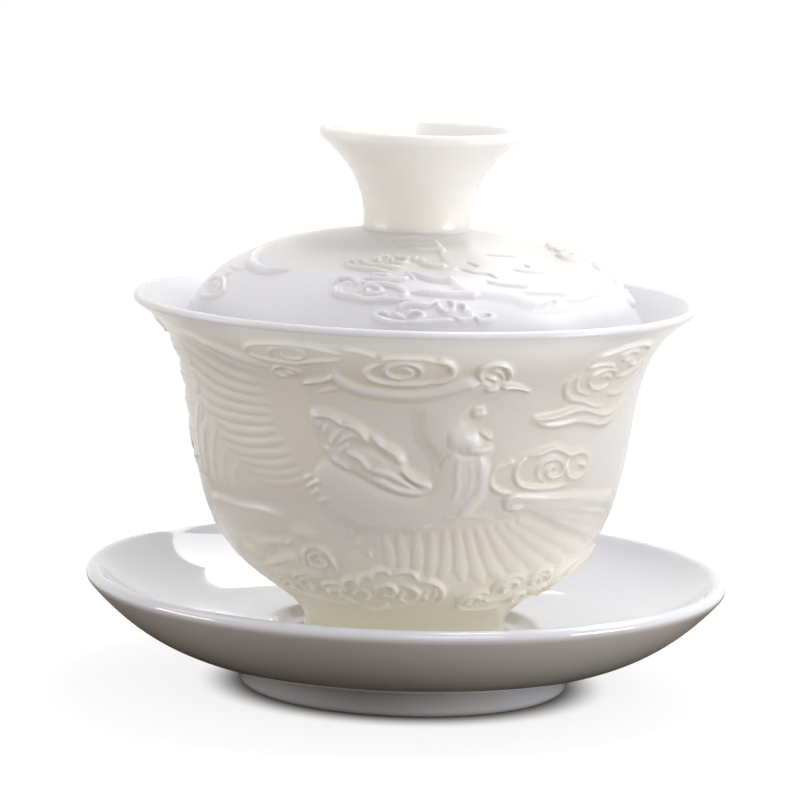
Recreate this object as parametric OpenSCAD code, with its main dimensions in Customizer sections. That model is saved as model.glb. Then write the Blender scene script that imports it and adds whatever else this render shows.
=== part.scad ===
// Lidded tea bowl on a saucer: a footed saucer with a well, a flared bowl whose
// foot stands in that well, a domed lid whose edge rests inside the bowl's flare,
// and a hollow flared knob on the lid. The bowl and the lid carry a bird and clouds
// in low relief. Millimetres, +Z up, z = 0 on the table.

/* [Saucer] */
// Diameter across the saucer's rim
saucer_d = 112.5; // [100:0.5:130]
// Height of the saucer's rim above the table
saucer_h = 20.5; // [17:0.5:26]
// Thickness of the saucer's rounded rim
saucer_lip = 2.6; // [2:0.1:4]
// Outer diameter of the saucer's foot ring
saucer_foot_d = 58.2; // [52:0.2:68]
// Height of the saucer's foot ring
saucer_foot_h = 5; // [3.5:0.1:6.5]
// Width of the saucer's foot ring
saucer_foot_w = 4; // [3:0.1:5]
// Rounding of the foot ring's lower edges
saucer_foot_round = 1.2; // [0.5:0.1:1.4]
// Thickness of the floor between the well and the table side
saucer_floor = 3.3; // [2.5:0.1:4.5]
// Depth of the well that takes the bowl's foot
well_depth = 2.3; // [1.5:0.1:3.5]
// Room all round the bowl's foot in the well
well_clearance = 1.7; // [0.5:0.1:3]
// Width of the well's curved side
well_side_w = 4; // [2:0.1:6]

/* [Bowl] */
// Diameter across the bowl's rim
bowl_d = 98; // [88:0.5:110]
// Height of the bowl from its foot to its rim
bowl_h = 60.5; // [52:0.5:70]
// Thickness of the bowl's rounded lip
bowl_lip = 1.6; // [1.2:0.1:2.4]
// Thickness of the bowl's wall at the belly
bowl_wall = 2.3; // [1.8:0.1:3]
// Diameter at the belly, where the round lower part meets the flare
belly_d = 72; // [66:0.5:78]
// Height of the belly above the bowl's foot
belly_h = 25.3; // [22:0.1:30]
// Diameter of the bowl's foot
bowl_foot_d = 35.4; // [30:0.2:40]
// Height of the bowl's foot
bowl_foot_h = 4.1; // [3.2:0.1:5.5]
// Width of the bowl's foot ring
bowl_foot_w = 3.2; // [2.2:0.1:4.2]
// Rounding of the foot ring's lower edges
bowl_foot_round = 0.6; // [0.2:0.1:1]
// Thickness of the bowl's floor
bowl_floor = 3.4; // [2.4:0.1:4.4]
// Reach of the fillet between the floor and the wall inside
bowl_floor_fillet = 3; // [1:0.1:6]

/* [Lid] */
// Depth of the lid's edge below the bowl's rim
lid_seat_depth = 6.1; // [4:0.1:9]
// Room between the lid's edge and the bowl's wall
lid_clearance = 0.25; // [0.1:0.05:0.6]
// Rise of the lid's crown above the middle of its edge
lid_rise = 18; // [13:0.5:23]
// Thickness of the lid
lid_wall = 2.2; // [1.6:0.1:3]

/* [Knob] */
// Diameter across the knob's rim
knob_d = 34.8; // [28:0.2:42]
// Height of the knob above the lid's crown
knob_h = 17.5; // [13:0.5:22]
// Diameter of the knob's neck where it is luted to the lid
neck_d = 18.6; // [15:0.2:22]
// Thickness of the knob's neck
neck_wall = 2.4; // [1.8:0.1:3.2]
// Thickness of the knob's rounded rim
knob_lip = 2.7; // [2:0.1:3.4]

/* [Ornament] */
// How far the bird and its wings stand out from the bowl's wall
bird_relief = 0.9; // [0.4:0.1:1.2]
// How far the clouds and plumes stand out from the bowl's wall
cloud_relief = 0.5; // [0.3:0.1:1.2]
// How far the ornament stands out from the lid
lid_relief = 0.5; // [0.3:0.1:1]

/* [Hidden] */
$fn = 160;

glaze = "ivory";
curve_steps = 20;
arc_steps = 10;
// Step along the bowl's lower side at which the floor's fillet meets the wall
fillet_steps = 4;

// Headings of the profile curves, in degrees above the outward radius
saucer_foot_heading = 1;
saucer_rim_heading = 49;
plate_heading = 4;
well_rim_heading = 62;
bowl_foot_heading = 62;
belly_heading = 73;
bowl_rim_heading = 32;
crown_heading = -12;
lid_edge_heading = -71;
neck_heading = 90;
knob_rim_heading = 41;

// Reach of each curve along its two end headings, as shares of its chord
underside_reach = [0.36, 0.37];
plate_reach = [0.4, 0.33];
well_reach = [0.5, 0.4];
lower_reach = [0.26, 0.53];
flare_reach = [0.44, 0.38];
fillet_reach = [0.4, 0.4];
dome_reach = [0.4, 0.41];
knob_reach = [0.44, 0.33];

// Half the height over which the slope of the bowl's flare is taken at the lid's edge
slope_step = 0.5;

// Heights that one piece takes from the piece under it
seat_z = saucer_foot_h + saucer_floor;
bowl_rim_z = seat_z + bowl_h;
lid_edge_z = bowl_rim_z - lid_seat_depth;
crown_z = lid_edge_z + lid_rise;
knob_top_z = crown_z + knob_h;

// Unit vector at a heading, and the one a quarter turn to its left
function along(a) = [cos(a), sin(a)];
function left_of(a) = [-sin(a), cos(a)];

// Cubic curve from p0, where it leaves at heading a0, to p1, where it arrives at heading a1
function curve(p0, a0, p1, a1, reach) =
    let (chord = norm(p1 - p0))
    [p0, p0 + reach[0] * chord * along(a0), p1 - reach[1] * chord * along(a1), p1];
function curve_point(c, t) =
    let (s = 1 - t)
    s * s * s * c[0] + 3 * s * s * t * c[1] + 3 * s * t * t * c[2] + t * t * t * c[3];
function curve_heading(c, t) =
    let (s = 1 - t)
    let (d = s * s * (c[1] - c[0]) + 2 * s * t * (c[2] - c[1]) + t * t * (c[3] - c[2]))
    atan2(d[1], d[0]);
function trace(c) = [for (i = [0 : curve_steps]) curve_point(c, i / curve_steps)];

// The same curve moved to its left by a distance that runs from d0 to d1
function trace_beside(c, d0, d1) = [
    for (i = [0 : curve_steps])
    let (t = i / curve_steps)
    curve_point(c, t) + (d0 + (d1 - d0) * t) * left_of(curve_heading(c, t))
];
// Length of a run of points up to one of them, and a table of a coordinate by that length
function run_to(points, i) = i == 0 ? 0 : run_to(points, i - 1) + norm(points[i] - points[i - 1]);
function by_run(points, k) = [for (i = [0 : len(points) - 1]) [run_to(points, i), points[i][k]]];
function arc(centre, r, a0, a1) = [
    for (i = [0 : arc_steps]) centre + r * along(a0 + (a1 - a0) * i / arc_steps)
];
function reversed(list) = [for (i = [len(list) - 1 : -1 : 0]) list[i]];

// Lower end of a foot ring, from its inner side to its outer side
function ring_foot(r_in, r_out, z, r_edge) = concat(
    arc([r_in + r_edge, z + r_edge], r_edge, 180, 270),
    arc([r_out - r_edge, z + r_edge], r_edge, 270, 360)
);

module revolved(profile) {
    color(glaze)
    rotate_extrude()
    polygon(profile);
}

// Saucer: foot ring, curved plate, rounded rim and the well for the bowl's foot
saucer_foot_r = saucer_foot_d / 2;
well_r = bowl_foot_d / 2 + well_clearance;
well_rim = [well_r + well_side_w, seat_z + well_depth];
saucer_rim_mid = [saucer_d / 2 - saucer_lip / 2, saucer_h - saucer_lip / 2];
saucer_rim_side = saucer_lip / 2 * left_of(saucer_rim_heading);
underside = curve([saucer_foot_r, saucer_foot_h], saucer_foot_heading,
                  saucer_rim_mid - saucer_rim_side, saucer_rim_heading, underside_reach);
plate = curve(well_rim, plate_heading,
              saucer_rim_mid + saucer_rim_side, saucer_rim_heading, plate_reach);
well_side = curve([well_r, seat_z], 0, well_rim, well_rim_heading, well_reach);

module saucer() {
    revolved(concat(
        [[0, saucer_foot_h], [saucer_foot_r - saucer_foot_w, saucer_foot_h]],
        ring_foot(saucer_foot_r - saucer_foot_w, saucer_foot_r, 0, saucer_foot_round),
        trace(underside),
        arc(saucer_rim_mid, saucer_lip / 2, saucer_rim_heading - 90, saucer_rim_heading + 90),
        reversed(trace(plate)),
        reversed(trace(well_side)),
        [[0, seat_z]]
    ));
}

// Bowl: foot ring, round lower part, flare and thin lip
bowl_foot_r = bowl_foot_d / 2;
bowl_foot_top = [bowl_foot_r, seat_z + bowl_foot_h];
belly = [belly_d / 2, seat_z + belly_h];
bowl_rim_mid = [bowl_d / 2 - bowl_lip / 2, bowl_rim_z - bowl_lip / 2];
lower_side = curve(bowl_foot_top, bowl_foot_heading, belly, belly_heading, lower_reach);
flare = curve(belly, belly_heading,
              bowl_rim_mid - bowl_lip / 2 * left_of(bowl_rim_heading), bowl_rim_heading,
              flare_reach);
flare_inside = trace_beside(flare, bowl_wall, bowl_lip);
lower_inside = trace_beside(lower_side, bowl_wall, bowl_wall);
bowl_floor_z = lower_inside[0][1];
bowl_floor_edge = [lower_inside[0][0] - bowl_floor_fillet, bowl_floor_z];
floor_fillet = curve(bowl_floor_edge, 0, lower_inside[fillet_steps],
                     curve_heading(lower_side, fillet_steps / curve_steps), fillet_reach);
wall_above_fillet = [for (i = [fillet_steps : curve_steps]) lower_inside[i]];

// Ornament on the bowl: clay raised from the outer wall. Each figure is an outline of
// [degrees round from the front, place up the wall], read on a drawing of the wall that
// is bowl_drawing tall from the foot to the rim.
bowl_drawing = 66;
clay_root = 0.8;
cloud_over_wing = [[-40, 59], [-33, 62], [-22, 62.4], [-8, 61.4], [3, 61], [9, 59], [9, 56.5], [3, 54.5],
                   [-10, 54.5], [-20, 58], [-36, 57.5]];
neck_and_head = [[-18, 57], [-15, 53], [-5, 51.3], [6, 52], [13, 53.6], [21, 53.6], [28, 53], [22, 55.8],
                 [22, 58], [19, 60], [15.5, 59.3], [14.5, 56.6], [6, 54.6], [-5, 53.9], [-14, 55]];
bird_body = [[2, 50], [9, 53.6], [17, 55.4], [15, 51], [12.5, 48.5], [15, 45.4], [19.5, 43], [19.5, 37.5],
             [16, 32.5], [8, 30], [-9, 28.4], [-19, 30.5], [-25, 36], [-21, 40.5], [-8, 36.5], [4, 35.3],
             [6.8, 39], [2.4, 45]];
folded_wing = [[-25, 49.5], [-17.5, 48.5], [-7, 44.4], [-1, 40], [5, 37], [1, 35], [-9, 37], [-20.5, 41.4]];
spread_wing = [[-33, 56.5], [-27, 52], [-24, 44], [-22, 38], [-26, 33.5], [-38, 32.2], [-36, 35], [-46, 35.4],
               [-43, 38.4], [-54, 40.6], [-50, 43.4], [-63, 45.4], [-58, 48], [-69, 50], [-63, 53], [-72, 56.6],
               [-70, 60.6], [-56, 60.6]];
cloud_at_rim = [[38.5, 53.5], [44, 50.6], [55, 49.6], [64, 51], [68, 57], [62, 62], [52, 61.6], [44, 60], [42.5, 56]];
ribbon = [[31, 48.2], [40, 49], [46, 49.6], [55, 48.2], [65, 50.4], [62, 47], [53, 45.6], [45, 46.8], [36, 46.4]];
cloud_at_breast = [[20.4, 38.6], [26, 41], [38, 43], [50, 41.8], [53, 39.5], [50, 36.4], [34, 35.6], [22, 35.8]];
plume = [[25.4, 34], [34, 35], [50, 34.2], [70, 32], [72, 25], [56, 26.4], [38, 30.5], [28, 32]];
tail_feathers = [[-8, 27.4], [-6, 21], [-3, 19.6], [0, 21], [3, 19.4], [6, 21], [9, 18.4], [13, 20.4], [18, 17.6],
                 [21, 20], [26, 17.4], [29, 20.4], [34, 19.2], [38, 21], [44, 19.6], [48, 22], [56, 20.8], [60, 23.4],
                 [66, 22.6], [46, 27], [30, 29.8], [14, 28.4]];
cloud_at_foot = [[-22, 14.5], [-13, 19], [-5, 19.4], [4, 18.6], [10, 17.4], [12.6, 15], [12, 11.5], [2, 9.8], [-12, 7.5],
                 [-20.4, 10.6]];
cloud_bank_right = [[20.4, 9.6], [22, 13.6], [30, 15.6], [36, 17.6], [50, 18.4], [60, 13], [57, 8.6], [40, 7], [24, 7.8]];
cloud_bank_left = [[-24, 19], [-23, 23], [-30, 24.4], [-48, 19.4], [-56, 17], [-54, 12], [-40, 9.2], [-26, 9], [-24, 12],
                   [-27, 16]];

// Figures with the clay's rise and where they are laid: [rise, outline, turn, side, up]
bowl_figures = [
    [cloud_relief, cloud_over_wing, 0, 1, 0], [bird_relief, neck_and_head, 0, 1, 0], [bird_relief, bird_body, 0, 1, 0],
    [bird_relief + 0.2, folded_wing, 0, 1, 0], [cloud_relief, spread_wing, 0, 1, 0], [cloud_relief, cloud_at_rim, 0, 1, 0],
    [cloud_relief, ribbon, 0, 1, 0], [cloud_relief, cloud_at_breast, 0, 1, 0], [cloud_relief, plume, 0, 1, 0],
    [cloud_relief, tail_feathers, 0, 1, 0], [cloud_relief, cloud_at_foot, 0, 1, 0],
    [cloud_relief, cloud_bank_right, 0, 1, 0], [cloud_relief, cloud_bank_left, 0, 1, 0],
    [cloud_relief, cloud_over_wing, 132, 1, 0], [cloud_relief, cloud_over_wing, 236, -1, 0],
    [cloud_relief, cloud_at_rim, 130, 1, 0], [cloud_relief, ribbon, 64, 1, 0], [cloud_relief, ribbon, 292, -1, -2],
    [cloud_relief, cloud_at_breast, 76, 1, 1], [cloud_relief, cloud_at_breast, 290, -1, 0],
    [cloud_relief, plume, 215, -1, 3], [cloud_relief, plume, 250, -1, -2], [cloud_relief, cloud_at_foot, 92, 1, 0],
    [cloud_relief, cloud_at_foot, 186, -1, 0], [cloud_relief, cloud_bank_right, 104, 1, 0],
    [cloud_relief, cloud_bank_left, 290, 1, 0], [cloud_relief, tail_feathers, 182, 1, 0],
];
bowl_line = concat(trace(lower_side), [for (i = [1 : curve_steps]) trace(flare)[i]]);
bowl_r_by_run = by_run(bowl_line, 0);
bowl_z_by_run = by_run(bowl_line, 1);
bowl_run = run_to(bowl_line, len(bowl_line) - 1);
function moved(outline, turn, side, up) = [for (p = outline) [p[0] * side + turn, p[1] + up]];
function middle(outline) =
    let (round_it = [for (p = outline) p[0]])
    (min(round_it) + max(round_it)) / 2;
function on_bowl(p, mid) =
    let (s = p[1] * bowl_run / bowl_drawing)
    [lookup(s, bowl_r_by_run) * sin(p[0] - mid), lookup(s, bowl_z_by_run)];
function bowl_clay(rise) = concat(
    trace_beside(lower_side, -rise, -rise),
    trace_beside(flare, -rise, -rise),
    reversed(trace_beside(flare, clay_root, clay_root)),
    reversed(trace_beside(lower_side, clay_root, clay_root))
);

module bowl_figure(rise, outline) {
    mid = middle(outline);
    color(glaze)
    intersection() {
        revolved(bowl_clay(rise));
        rotate([0, 0, mid])
        rotate([90, 0, 0])
        linear_extrude(bowl_d / 2)
        polygon([for (p = outline) on_bowl(p, mid)]);
    }
}

module bowl() {
    for (f = bowl_figures) bowl_figure(f[0], moved(f[1], f[2], f[3], f[4]));
    revolved(concat(
        [[0, bowl_floor_z - bowl_floor], [bowl_foot_r - bowl_foot_w, bowl_floor_z - bowl_floor]],
        ring_foot(bowl_foot_r - bowl_foot_w, bowl_foot_r, seat_z, bowl_foot_round),
        trace(lower_side),
        trace(flare),
        arc(bowl_rim_mid, bowl_lip / 2, bowl_rim_heading - 90, bowl_rim_heading + 90),
        reversed(flare_inside),
        reversed(wall_above_fillet),
        reversed(trace(floor_fillet)),
        [[0, bowl_floor_z]]
    ));
}

// Lid: a dome whose round edge lies against the bowl's flare
function bowl_inside_r(z) = lookup(z, [for (p = flare_inside) [p[1], p[0]]]);
neck_r = neck_d / 2;
flare_rise = bowl_inside_r(lid_edge_z + slope_step) - bowl_inside_r(lid_edge_z - slope_step);
flare_slope = flare_rise / (2 * slope_step);
lid_edge_room = (lid_wall / 2 + lid_clearance) * sqrt(1 + flare_slope * flare_slope);
lid_edge_mid = [bowl_inside_r(lid_edge_z) - lid_edge_room, lid_edge_z];
dome = curve([neck_r, crown_z], crown_heading,
             lid_edge_mid + lid_wall / 2 * left_of(lid_edge_heading), lid_edge_heading,
             dome_reach);

// Ornament on the lid, as outlines of [degrees round from the front, place out from the
// neck], read on a drawing that is lid_drawing wide from the neck to the edge
lid_drawing = 38;
flame = [[6, 6.5], [10.6, 18], [14, 25], [36, 29.4], [62, 28.4], [66, 24], [62, 17], [50, 11], [34, 8], [18, 6]];
flame_tongues = [[12, 4.4], [-16, 4], [-16, 5.6], [2, 6.4], [-11, 6.4], [-11, 7.6], [3, 8.6], [-5, 9], [-5, 10.2], [12, 11.6]];
upper_cloud = [[-27, 16.4], [-18, 14.6], [-4, 13.2], [1.6, 15.6], [-4, 19.8], [-18, 19.9], [-26, 18.5]];
middle_cloud = [[-25, 23.6], [-18.6, 22.4], [-8, 23.2], [-2, 25.4], [-4, 27.4], [-14, 28], [-24, 26.4]];
lower_cloud = [[-10.6, 30.4], [-4, 28.6], [4, 28], [9, 27], [16, 29.3], [21.4, 30.6], [12, 31.8], [-4, 32]];
crescent = [[-84, 17], [-79, 18], [-69, 20.6], [-57, 22], [-45, 21.4], [-45, 23], [-57, 24.2], [-69, 23], [-80, 20.4]];
small_cloud = [[-80, 29], [-75, 27], [-66, 28], [-63, 30], [-69, 31.4], [-78, 31.4]];
lid_figures = [
    [flame, 0], [flame_tongues, 0], [upper_cloud, 0], [middle_cloud, 0], [lower_cloud, 0], [crescent, 0], [small_cloud, 0],
    [flame, 180], [flame_tongues, 180], [upper_cloud, 100], [middle_cloud, 112], [lower_cloud, 92],
    [upper_cloud, 196], [middle_cloud, 196], [lower_cloud, 200],
];
lid_line = trace(dome);
lid_r_by_run = by_run(lid_line, 0);
lid_run = run_to(lid_line, len(lid_line) - 1);
lid_clay = concat(trace_beside(dome, lid_relief, lid_relief), reversed(trace_beside(dome, -clay_root, -clay_root)));
function on_lid(p) = lookup(p[1] * lid_run / lid_drawing, lid_r_by_run) * [sin(p[0]), -cos(p[0])];

module lid_figure(outline) {
    color(glaze)
    intersection() {
        revolved(lid_clay);
        translate([0, 0, lid_edge_z])
        linear_extrude(2 * lid_rise)
        polygon([for (p = outline) on_lid(p)]);
    }
}

module lid() {
    for (f = lid_figures) lid_figure(moved(f[0], f[1], 1, 0));
    revolved(concat(
        [[0, crown_z]],
        trace(dome),
        arc(lid_edge_mid, lid_wall / 2, lid_edge_heading + 90, lid_edge_heading - 90),
        reversed(trace_beside(dome, -lid_wall, -lid_wall)),
        [[0, crown_z - lid_wall]]
    ));
}

// Knob: a hollow flared ring, open at the top, luted to the lid's crown
knob_rim_mid = [knob_d / 2 - knob_lip / 2, knob_top_z - knob_lip / 2];
knob_side = curve([neck_r, crown_z], neck_heading,
                  knob_rim_mid - knob_lip / 2 * left_of(knob_rim_heading), knob_rim_heading,
                  knob_reach);

module lid_knob() {
    revolved(concat(
        trace(knob_side),
        arc(knob_rim_mid, knob_lip / 2, knob_rim_heading - 90, knob_rim_heading + 90),
        reversed(trace_beside(knob_side, neck_wall, knob_lip))
    ));
}

saucer();
bowl();
lid();
lid_knob();
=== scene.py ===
# %% [markdown]
# # A lidded tea bowl on its saucer
# This lesson dresses a set of four porcelain pieces: a plain glossy saucer, a bowl with a
# bird and clouds in low relief, a domed lid with more clouds, and a hollow flared knob.
# All of them were thrown on a wheel, so each one starts here as a profile that is turned
# round the upright axis. The relief is then raised from the turned wall, as a potter
# presses clay ornament on a bowl before it is glazed.

# %% The fixed frame
import math

import bpy
import numpy as np
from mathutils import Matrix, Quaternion, Vector


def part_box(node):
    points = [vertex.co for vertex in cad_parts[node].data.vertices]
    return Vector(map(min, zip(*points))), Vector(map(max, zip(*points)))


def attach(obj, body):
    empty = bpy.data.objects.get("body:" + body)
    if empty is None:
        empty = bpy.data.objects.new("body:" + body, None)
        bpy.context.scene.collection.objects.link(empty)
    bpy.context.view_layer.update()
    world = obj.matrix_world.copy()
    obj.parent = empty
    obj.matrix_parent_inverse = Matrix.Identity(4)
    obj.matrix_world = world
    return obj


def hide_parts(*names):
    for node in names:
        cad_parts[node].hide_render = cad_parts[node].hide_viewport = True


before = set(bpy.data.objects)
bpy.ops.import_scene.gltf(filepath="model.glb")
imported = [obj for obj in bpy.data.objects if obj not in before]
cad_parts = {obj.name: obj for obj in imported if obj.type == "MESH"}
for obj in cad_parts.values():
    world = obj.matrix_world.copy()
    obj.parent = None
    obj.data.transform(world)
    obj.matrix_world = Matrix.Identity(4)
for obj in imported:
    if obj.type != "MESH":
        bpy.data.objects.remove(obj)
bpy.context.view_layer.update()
MM = 0.001

# %% [markdown]
# ## Camera
# The picture was taken with a long lens from a little above the rim. A long lens far away
# keeps the saucer's ellipse flat, so the camera stands 0.7 m off with a 180 mm lens, and it
# leans by less than two degrees, as the picture does.

# %% Camera
AIM = Vector((-2.0, 0, 50.4)) * MM
DISTANCE = 0.7007
RAISED = math.radians(8.25)
LEAN = 0.031

bpy.ops.object.select_all(action="DESELECT")
bpy.ops.object.camera_add()
camera = bpy.context.object
camera.name = "camera"
camera.data.sensor_width = 36
camera.data.lens = 179.8
back = Vector((0, -math.cos(RAISED), math.sin(RAISED)))
camera.location = AIM + back * DISTANCE
camera.rotation_mode = "QUATERNION"
camera.rotation_quaternion = (-back).to_track_quat("-Z", "Y") @ Quaternion((0, 0, 1), LEAN)
bpy.context.scene.camera = camera
print("camera at", [round(v, 3) for v in camera.location])

# %% [markdown]
# ## Shader arithmetic
# A material is a graph of nodes. To read like a sum, each socket is wrapped in a small
# class, so that arithmetic on two values adds the Math nodes for it. Every other node comes
# from one method.

# %% Values that flow through nodes
class Flow:
    """A socket on its way through a material. Arithmetic on it adds Math nodes."""

    def __init__(self, tree, socket=None):
        self.tree, self.socket = tree, socket

    def node(self, kind, settings=None, sockets=None, out=0):
        made = self.tree.nodes.new("ShaderNode" + kind)
        for key, value in (settings or {}).items():
            setattr(made, key, value)
        for key, value in (sockets or {}).items():
            if isinstance(value, Flow):
                self.tree.links.new(value.socket, made.inputs[key])
            else:
                made.inputs[key].default_value = value
        return Flow(self.tree, None if out is None else made.outputs[out])

    def math(self, operation, a, b):
        return self.node("Math", {"operation": operation}, {0: a, 1: b})

    def __add__(self, other):
        return self.math("ADD", self, other)

    def __sub__(self, other):
        return self.math("SUBTRACT", self, other)

    def __mul__(self, other):
        return self.math("MULTIPLY", self, other)

    __radd__, __rmul__ = __add__, __mul__

    def blend(self, low, high):
        """A colour between two others, with this value as the share of the second."""
        settings = {"data_type": "RGBA"}
        return self.node("Mix", settings, {"Factor": self, 6: low, 7: high}, out=2)


print("node arithmetic ready")

# %% [markdown]
# ## Porcelain
# The paste is a warm white that lets a little light in: subsurface scattering with a reach
# of a few millimetres. The bowl is painted paler near its thin rim, a painted glow for light
# that shines through the thin flare. Towards the foot it turns cream, partly the tone of thick
# clay and partly a painted glow, and a faint emission at the foot is a painted glow as well,
# standing in for the light that the translucent foot gathers. In the hollows of its ornament it
# is ivory and a little darker, partly glaze pooled there and partly painted shade. The reverse,
# such as the bowl's inside or the saucer's underside, is painted in a tone of its own that is
# painted light: a cool painted light inside the bowl and a darker, warmer painted shade under
# the saucer. The lid's crown is painted a little darker round the knob, a painted shadow of the
# knob, and the knob's base is painted cream and brighter, a painted glow. The saucer has a wet
# gloss, a second clear layer called the coat, and the other pieces have a softer, satin glaze.
# All keep the faint ripple of a fired glaze and a cloudy drift of tone.

# %% Porcelain finishes
def rgb(red, green, blue):
    return (red, green, blue, 1)


# Painted light: the first colour is a painted glow near the bowl's thin rim, for light that shines through the flare;
# the second is the foot's cream, partly clay tone and partly a painted glow.
RIM_GLOW_PAINT, FOOT_CREAM_AND_GLOW = rgb(0.97, 0.96, 0.94), rgb(0.98, 0.91, 0.71)
WHITE, IVORY = rgb(0.73, 0.70, 0.68), rgb(0.78, 0.685, 0.54)
# Painted light: the default reverse tone, a cool painted light on the bowl's inside.
REVERSE_PAINTED_LIGHT = rgb(0.725, 0.72, 0.745)
CLOUDS, GRAINS = 38, 620
RIPPLE_DEPTH = 0.2 * MM


def porcelain(name, white, ivory, gloss, ripple, glow,
              coat=0.0, band_tone_and_painted_light=None, base=-1.0, reach=1.0, lit=0.0, inner=REVERSE_PAINTED_LIGHT):
    """A glaze on its clay. The glow is how much light scatters inside and how far. The band tint is
    partly clay tone and partly painted light; it is full at the height base and gone at base plus
    reach, in millimetres. lit is the strength of a painted glow in that band."""
    made = bpy.data.materials.new(name)
    made.use_nodes = True
    tree = made.node_tree
    shader = tree.nodes["Principled BSDF"]
    start = Flow(tree)
    place = start.node("TexCoord", out="Object")
    drift = start.node("TexNoise", {}, {"Vector": place, "Scale": CLOUDS, "Detail": 3})
    grain = start.node("TexNoise", {}, {"Vector": place, "Scale": GRAINS, "Detail": 2})
    hollow, raised, rim_glow, reverse = (
        start.node("Attribute", {"attribute_name": kept}, out="Fac")
        for kept in ("hollow", "raised", "rim_glow", "reverse")
    )
    # Painted light: a height band, full at base and gone at base plus reach, where a tint is painted over the wall.
    height = start.node("SeparateXYZ", {}, {0: place}, out="Z")
    span = {"Value": height, "From Min": base * MM, "From Max": (base + reach) * MM, "To Min": 1, "To Max": 0}
    foot = start.node("MapRange", {"interpolation_type": "SMOOTHSTEP"}, span)
    # Painted shade: hollows between raised clay turn ivory and darker, partly glaze pooled there and partly painted
    # shade; the drift is random tone and raised parts are paler.
    warm = 0.1 + hollow * 0.42 + (drift - 0.5) * 0.4 - raised * 0.25
    # The reverse is painted in its own tone of painted light.
    wall = reverse.blend(warm.blend(white, ivory), inner)
    ripples = {"Strength": ripple, "Distance": RIPPLE_DEPTH, "Height": grain + drift * 3}
    # Base colour: the wall tone, painted paler near the bowl's rim as a painted glow, then the band's tint of painted
    # light.
    varied = {
        "Base Color": foot.blend(rim_glow.blend(wall, RIM_GLOW_PAINT), band_tone_and_painted_light or ivory),
        "Roughness": gloss + (drift - 0.5) * 0.1 * gloss + hollow * 0.1,
        "Normal": start.node("Bump", {}, ripples),
    }
    # Painted glow: a faint emission in the band, for light that comes through the translucent foot.
    if lit:
        varied["Emission Color"] = (foot * foot * lit).blend(rgb(0, 0, 0), band_tone_and_painted_light)
    for socket, flow in varied.items():
        tree.links.new(flow.socket, shader.inputs[socket])
    fixed = {
        "IOR": 1.5, "Coat Weight": coat, "Coat Roughness": 0.03, "Coat IOR": 1.6,
        "Subsurface Weight": glow[0], "Subsurface Radius": (1.0, 0.88, 0.74),
        "Subsurface Scale": glow[1] * MM, "Emission Strength": 1 if lit else 0,
    }
    for socket, value in fixed.items():
        shader.inputs[socket].default_value = value
    return made


# The saucer's reverse is a painted shade: darker and warmer under the plate.
saucer_glaze = porcelain(
    "saucer_gloss", rgb(0.73, 0.73, 0.78), rgb(0.73, 0.72, 0.71), 0.08, 0.04, (0.25, 1.0),
    coat=0.7, inner=rgb(0.71, 0.68, 0.655)
)
# The bowl's foot band is cream clay with a painted glow, and a faint emission there is a painted glow too.
bowl_glaze = porcelain(
    "bowl_satin", WHITE, IVORY, 0.25, 0.1, (0.45, 2.0), band_tone_and_painted_light=FOOT_CREAM_AND_GLOW, base=9, reach=27, lit=0.1
)
# On the lid the band is a painted shadow: the crown is painted darker round the knob, where its shadow falls.
lid_glaze = porcelain(
    "lid_satin", rgb(0.75, 0.74, 0.78), rgb(0.73, 0.69, 0.65), 0.33, 0.1, (0.4, 1.6),
    band_tone_and_painted_light=rgb(0.70, 0.67, 0.64), base=77.5, reach=-2.5
)
# On the knob the band is a painted glow: its base is painted cream and brighter, for light that comes through it.
knob_glaze = porcelain(
    "knob_satin", rgb(0.79, 0.785, 0.785), IVORY, 0.24, 0.08, (0.6, 4.0),
    band_tone_and_painted_light=rgb(0.88, 0.825, 0.745), base=76, reach=14
)
print("finishes:", ", ".join(g.name for g in (saucer_glaze, bowl_glaze, lid_glaze, knob_glaze)))

# %% [markdown]
# ## Profiles
# A thrown piece is all in its profile: a few smooth curves given by where they start, the
# way they head, and how far each end pulls. The inner wall is the outer curve moved to
# its left by the wall's thickness. Points are (radius, height) in millimetres.

# %% Curves of a profile
def along(degrees):
    return Vector((math.cos(math.radians(degrees)), math.sin(math.radians(degrees))))


def left_of(degrees):
    return along(degrees + 90)


def sweep(start, leaving, end, arriving, reach):
    """Control points of a curve that leaves one point at a heading and arrives at another."""
    start, end = Vector(start), Vector(end)
    chord = (end - start).length
    return start, start + along(leaving) * chord * reach[0], end - along(arriving) * chord * reach[1], end


def on_curve(c, t):
    s = 1 - t
    return c[0] * s**3 + c[1] * 3 * s * s * t + c[2] * 3 * s * t * t + c[3] * t**3


def heading_on(c, t):
    s = 1 - t
    d = (c[1] - c[0]) * s * s + (c[2] - c[1]) * 2 * s * t + (c[3] - c[2]) * t * t
    return math.degrees(math.atan2(d[1], d[0]))


def trace(c, steps, first=0, last=1, side=(0, 0)):
    """Points along a curve, or beside it at a distance that runs from side[0] to side[1]."""
    points = []
    for t in np.linspace(first, last, steps + 1):
        gap = side[0] + (side[1] - side[0]) * t
        points.append(on_curve(c, t) + left_of(heading_on(c, t)) * gap)
    return points


def arc(middle, radius, start, end, steps):
    turns = np.linspace(start, end, steps + 1)
    return [Vector(middle) + along(a) * radius for a in turns]


def half_round(middle, radius, heading, steps):
    """The round edge of a wall that arrives at a heading, from its right side to its left."""
    return arc(middle, radius, heading - 90, heading + 90, steps)


def ring_foot(inner, outer, z, edge, steps):
    """The rounded underside of a foot ring, from its inner side to its outer side."""
    inside = arc((inner + edge, z + edge), edge, 180, 270, steps)
    return inside + arc((outer - edge, z + edge), edge, 270, 360, steps)


def line(start, end, steps):
    """Points from start up to, but not on, the end."""
    return [Vector(start).lerp(Vector(end), i / steps) for i in range(steps)]


print("profile tools ready")

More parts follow.
